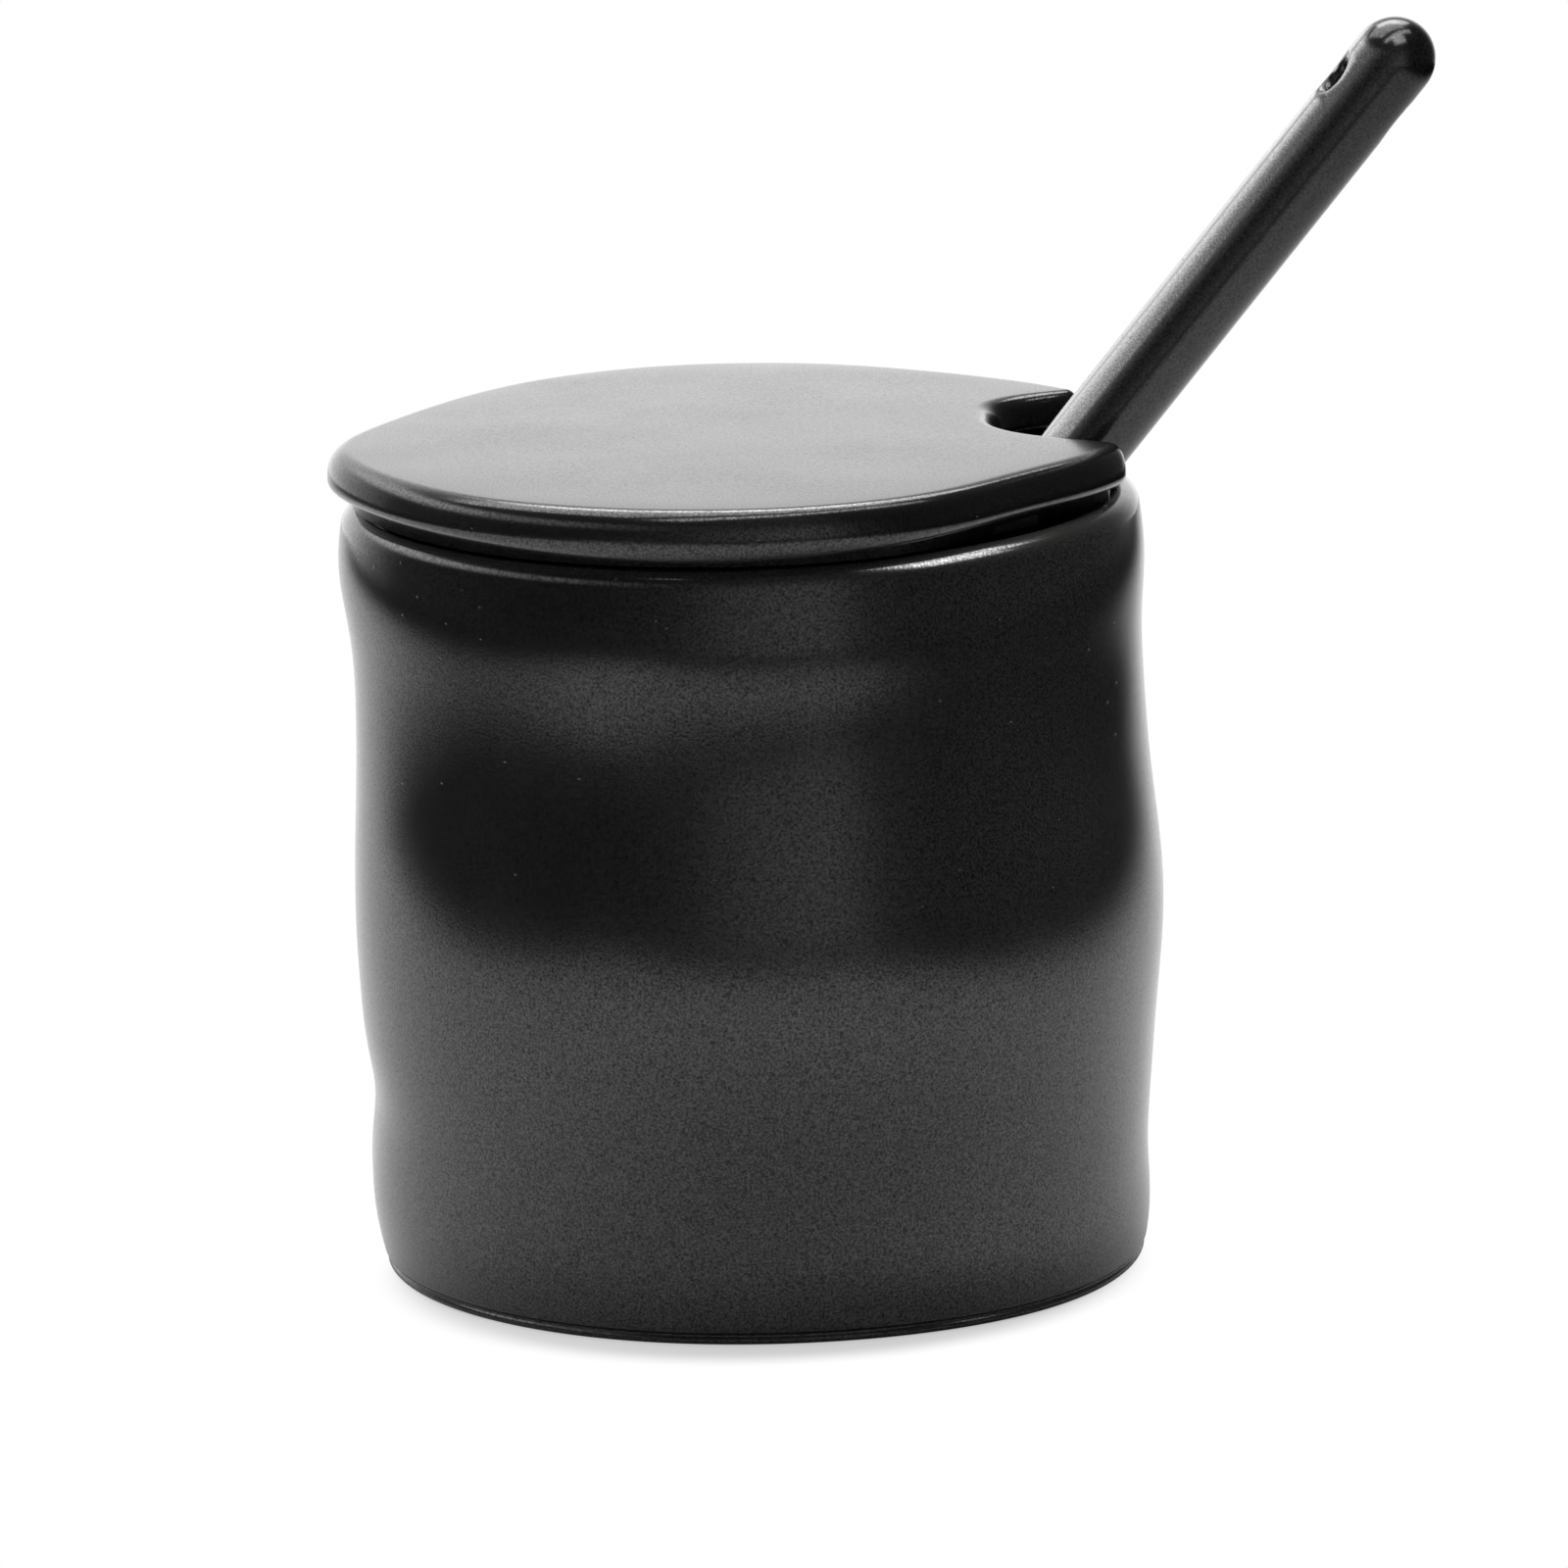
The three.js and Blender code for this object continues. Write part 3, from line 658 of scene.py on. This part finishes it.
def satin_black_glaze(name, sparkle):
    """Black satin glaze on stoneware, dipped and fired.

    It is almost black, with a soft sheen that mirrors large light areas. Fine grain from the clay shows
    through, with a few pinholes, and on sharp edges the glaze runs thin and greyer, which is partly a painted
    highlight.
    """
    material = bpy.data.materials.new(name)
    material.use_nodes = True
    tree = material.node_tree
    tree.nodes.clear()
    place = add(tree, "ShaderNodeTexCoord").outputs["Object"]

    grain_size = 0.24 * MM    # a real grain is about half this, too fine to show
    cloud_size = 9.0 * MM
    pinhole_spacing = 3.0 * MM
    grain_height = 0.005 * MM
    pinhole_depth = 0.03 * MM
    grain_low = 0.32          # the noise lies between these nearly everywhere
    grain_high = 0.68
    grain_roughness = 0.06
    middle_gloss = 0.5

    grain = add(tree, "ShaderNodeTexNoise", {"Vector": place, "Scale": 1.0 / grain_size, "Detail": 2.0})
    clouds = add(tree, "ShaderNodeTexNoise", {"Vector": place, "Scale": 1.0 / cloud_size, "Detail": 3.0})
    pores = add(tree, "ShaderNodeTexVoronoi", {"Vector": place, "Scale": 1.0 / pinhole_spacing})
    pinhole = add(
        tree,
        "ShaderNodeMapRange",
        {
            "Value": pores.outputs["Distance"],
            "From Min": 0.03,
            "From Max": 0.06,
            "To Min": 1.0,
            "To Max": 0.0,
        },
    )
    thin_glaze_highlight = add(tree, "ShaderNodeAttribute", attribute_name="thin_glaze_and_highlight")
    speck = add(
        tree,
        "ShaderNodeMapRange",
        {"Value": grain.outputs["Fac"], "From Min": grain_low, "From Max": grain_high},
    )

    speckled = add(
        tree,
        "ShaderNodeMix",
        {"Factor": speck.outputs["Result"], "A": linear("#242424"), "B": linear("#0a0a0a")},
        data_type="RGBA",
    )
    # Lighter where the glaze runs thin on the edges, partly a painted highlight on the rim and the lid's edge
    colour = add(
        tree,
        "ShaderNodeMix",
        {"Factor": thin_glaze_highlight.outputs["Fac"], "A": speckled.outputs["Result"], "B": linear("#262524")},
        data_type="RGBA",
    )
    sheen = add(
        tree,
        "ShaderNodeMapRange",
        {"Value": clouds.outputs["Fac"], "From Min": 0.3, "From Max": 0.7, "To Min": 0.12, "To Max": 0.16},
    )
    roughness = add(
        tree,
        "ShaderNodeMath",
        {0: speck.outputs["Result"], 1: grain_roughness, 2: sheen.outputs["Result"]},
        operation="MULTIPLY_ADD",
    )
    glint = add(
        tree,
        "ShaderNodeMapRange",
        {
            "Value": grain.outputs["Fac"],
            "From Min": grain_low,
            "From Max": grain_high,
            "To Min": middle_gloss + sparkle,
            "To Max": middle_gloss - sparkle,
        },
    )
    grain_relief = add(tree, "ShaderNodeBump", {"Height": grain.outputs["Fac"], "Distance": grain_height})
    relief = add(
        tree,
        "ShaderNodeBump",
        {
            "Height": pinhole.outputs["Result"],
            "Distance": pinhole_depth,
            "Normal": grain_relief.outputs["Normal"],
        },
        invert=True,
    )
    shader = add(
        tree,
        "ShaderNodeBsdfPrincipled",
        {
            "Base Color": colour.outputs["Result"],
            "Roughness": roughness.outputs["Value"],
            "IOR": 1.6,
            "Specular IOR Level": glint.outputs["Result"],
            "Normal": relief.outputs["Normal"],
        },
    )
    add(tree, "ShaderNodeOutputMaterial", {"Surface": shader.outputs["BSDF"]})
    return material


def white_table():
    """Matt white card, seen by the camera as plain white apart from the shadow on it. For reflections its
    colour holds a painted falloff of light towards its sides and front.
    """
    material = bpy.data.materials.new("white_table")
    material.use_nodes = True
    tree = material.node_tree
    tree.nodes.clear()
    painted_pool_middle = Vector((-0.048, 0.5, 0.0))
    shadow_middle = Vector((0.0, -0.008, 0.0))
    path = add(tree, "ShaderNodeLightPath")
    white = add(tree, "ShaderNodeEmission", {"Color": linear("#ffffff"), "Strength": 1.0})
    place = add(tree, "ShaderNodeTexCoord").outputs["Object"]
    moved = add(tree, "ShaderNodeVectorMath", {0: place, 1: painted_pool_middle}, operation="SUBTRACT")
    aside = add(tree, "ShaderNodeVectorMath", {0: moved.outputs["Vector"]}, operation="ABSOLUTE")
    axes = add(tree, "ShaderNodeSeparateXYZ", {"Vector": aside.outputs["Vector"]})
    foot = add(tree, "ShaderNodeVectorMath", {0: place, 1: shadow_middle}, operation="DISTANCE")
    levels = []
    # The card's colour darkens softly at its sides and its front, a painted falloff of light, and the shadow
    # lies close round the jar's foot: the distance from the middle, where the change starts and ends, and the
    # levels there.
    for distance, near, far, inner, outer in (
        (axes.outputs["X"], 0.158, 0.328, 0.9, 0.0),
        (axes.outputs["Y"], 0.73, 1.0, 1.0, 0.0),
        (foot.outputs["Value"], 0.034, 0.04, 0.5, 1.0),
    ):
        level = add(
            tree,
            "ShaderNodeMapRange",
            {"Value": distance, "From Min": near, "From Max": far, "To Min": inner, "To Max": outer},
            interpolation_type="SMOOTHSTEP",
        )
        levels.append(level.outputs["Result"])
    # The card's colour: a painted pool of light that falls off towards the card's sides and front
    painted_light_falloff = add(tree, "ShaderNodeMath", {0: levels[0], 1: levels[1]}, operation="MULTIPLY")
    card = add(tree, "ShaderNodeBsdfDiffuse", {"Color": painted_light_falloff.outputs["Value"]})
    lifted = add(
        tree,
        "ShaderNodeMixShader",
        {"Fac": levels[2], 1: card.outputs["BSDF"], 2: white.outputs["Emission"]},
    )
    seen = add(
        tree,
        "ShaderNodeMixShader",
        {"Fac": path.outputs["Is Camera Ray"], 1: card.outputs["BSDF"], 2: lifted.outputs["Shader"]},
    )
    add(tree, "ShaderNodeOutputMaterial", {"Surface": seen.outputs["Shader"]})
    return material


# Stage


def make_table():
    table_radius = 0.6
    card = bmesh.new()
    bmesh.ops.create_circle(card, cap_ends=True, segments=96, radius=table_radius)
    mesh = bpy.data.meshes.new("table")
    card.to_mesh(mesh)
    card.free()
    mesh.materials.append(white_table())
    table = bpy.data.objects.new("table", mesh)
    bpy.context.scene.collection.objects.link(table)


def light_room():
    """White background for the camera; for reflections, a white sweep behind and a dim room in front."""
    world = bpy.data.worlds.new("studio")
    bpy.context.scene.world = world
    world.use_nodes = True
    world.cycles.sampling_method = "NONE"
    tree = world.node_tree
    tree.nodes.clear()
    path = add(tree, "ShaderNodeLightPath")
    direction = add(tree, "ShaderNodeTexCoord").outputs["Generated"]
    axes = add(tree, "ShaderNodeSeparateXYZ", {"Vector": direction})
    forward = add(tree, "ShaderNodeMath", {0: axes.outputs["Y"], 1: -1.0}, operation="MULTIPLY")
    turn = add(
        tree, "ShaderNodeMath", {0: axes.outputs["X"], 1: forward.outputs["Value"]}, operation="ARCTAN2"
    )
    share = add(
        tree,
        "ShaderNodeMapRange",
        {"Value": turn.outputs["Value"], "From Min": -math.pi, "From Max": math.pi},
    )
    height = add(tree, "ShaderNodeMapRange", {"Value": axes.outputs["Z"], "From Min": -1.0, "From Max": 1.0})
    # Brightness of the room and of a soft light on the left, by degrees of turn and of height
    room_turn = (
        (-180, 1.0), (-166, 1.0), (-150, 0.95), (-142, 0.72), (-132, 0.42), (-116, 0.05), (-60, 0.01),
        (-38, 0.025), (-20, 0.06), (-3, 0.2), (12, 0.26), (24, 0.27), (38, 0.06), (52, 0.012),
        (118, 0.03), (133, 0.06), (141, 0.14), (146, 0.28), (152, 0.5), (160, 0.85), (170, 1.0), (180, 1.0),
    )
    room_strength = 1.65
    room_height = ((-90, 1.0), (8, 1.0), (30, 0.35), (90, 0.2))
    light_turn = (
        (-180, 0.0), (-160, 0.2), (-131, 0.8), (-103, 0.9), (-90, 0.7), (-78, 0.42), (-60, 0.35),
        (-44, 0.16), (-25, 0.05), (0, 0.0), (180, 0.0),
    )
    light_height = ((-90, 0.0), (15, 0.0), (21, 0.8), (26, 1.0), (31, 1.0), (37, 0.0), (90, 0.0))
    light_strength = 2.5
    parts = []
    for turns, heights, strength in (
        (room_turn, room_height, room_strength),
        (light_turn, light_height, light_strength),
    ):
        levels = []
        for value, places in ((share, turns), (height, heights)):
            ramp = add(tree, "ShaderNodeValToRGB", {"Fac": value.outputs["Result"]})
            stops = ramp.color_ramp.elements
            for degrees, level in places:
                angle = math.radians(degrees)
                position = 0.5 + (angle / math.tau if places is turns else 0.5 * math.sin(angle))
                stop = stops[0] if position == 0.0 else stops[-1] if position == 1.0 else stops.new(position)
                stop.color = (level, level, level, 1.0)
            levels.append(ramp.outputs["Color"])
        power = add(tree, "ShaderNodeMath", {0: levels[1], 1: strength}, operation="MULTIPLY")
        part = add(tree, "ShaderNodeBackground", {"Color": levels[0], "Strength": power.outputs["Value"]})
        parts.append(part.outputs["Background"])
    reflected = add(tree, "ShaderNodeAddShader", {0: parts[0], 1: parts[1]})
    white = add(tree, "ShaderNodeBackground", {"Color": linear("#ffffff"), "Strength": 1.0})
    seen = add(
        tree,
        "ShaderNodeMixShader",
        {
            "Fac": path.outputs["Is Camera Ray"],
            1: reflected.outputs["Shader"],
            2: white.outputs["Background"],
        },
    )
    add(tree, "ShaderNodeOutputWorld", {"Surface": seen.outputs["Shader"]})


def hang_softboxes():
    """Hangs the lamps, all aimed at the origin. One that is named for a piece lights that piece alone.

    Returns the collections of lit pieces.
    """
    # Where each lamp hangs, its width and height, and its power in watts
    softboxes = {
        "overhead_softbox": ((-0.2, 0.35, 1.05), (1.1, 0.8), 7.6),
        "front_strip": ((0.12, -0.17, 0.92), (1.1, 0.16), 2.0),
        "jar_softbox": ((0.47, -0.03, 0.75), (0.6, 0.4), 6.0),
        "jar_strip": ((0.55, -0.15, 0.55), (0.35, 0.2), 2.0),
        "back_softbox": ((0.05, 0.5, 0.72), (0.6, 0.3), 2.5),
        "spoon_strip": ((-1.36, 0.26, 0.8), (1.9, 0.4), 11.5),
        "spoon_front": ((-1.05, -0.27, 0.57), (0.6, 0.3), 1.2),
        "spoon_top": ((0.2, -0.35, 0.8), (0.4, 0.35), 1.8),
        "spoon_back": ((-0.79, 1.19, 0.47), (1.1, 0.4), 3.2),
    }
    lit = {node: bpy.data.collections.new(node + "_lit") for node in ("jar", "spoon")}
    for name, (place, size, power) in softboxes.items():
        light = bpy.data.lights.new(name, "AREA")
        light.shape = "RECTANGLE"
        light.size, light.size_y = size
        light.energy = power
        lamp = bpy.data.objects.new(name, light)
        lamp.location = place
        lamp.rotation_euler = (-lamp.location).to_track_quat("-Z", "Y").to_euler()
        bpy.context.scene.collection.objects.link(lamp)
        lamp.light_linking.receiver_collection = lit.get(name.split("_")[0])
    return lit


def place_camera():
    """Long lens, a little above the jar, tilted as the photograph is."""
    picture_width = 1600.0
    focal_pixels = 13389.0
    roll = math.radians(-1.66)
    sensor = 36.0
    eye = Vector((1.75, -1300.0, 335.9)) * MM
    aim = Vector((3.43, 0.0, 48.32)) * MM
    lens = bpy.data.cameras.new("camera")
    lens.sensor_width = sensor
    lens.lens = sensor * focal_pixels / picture_width
    camera = bpy.data.objects.new("camera", lens)
    camera.location = eye
    turn = (aim - eye).to_track_quat("-Z", "Y") @ Quaternion((0.0, 0.0, 1.0), roll)
    camera.rotation_euler = turn.to_euler()
    bpy.context.scene.collection.objects.link(camera)
    bpy.context.scene.camera = camera


place_camera()
make_table()
light_room()
lit = hang_softboxes()
bpy.context.scene.view_settings.view_transform = "Standard"

for node, maker in (("jar", make_jar), ("lid", make_lid), ("spoon", make_spoon)):
    piece = finish_piece(maker(), node + "_body", satin_black_glaze(node + "_glaze_satin", SPARKLE[node]))
    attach(piece, node)
    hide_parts(node)
    if node in lit:
        lit[node].objects.link(piece)
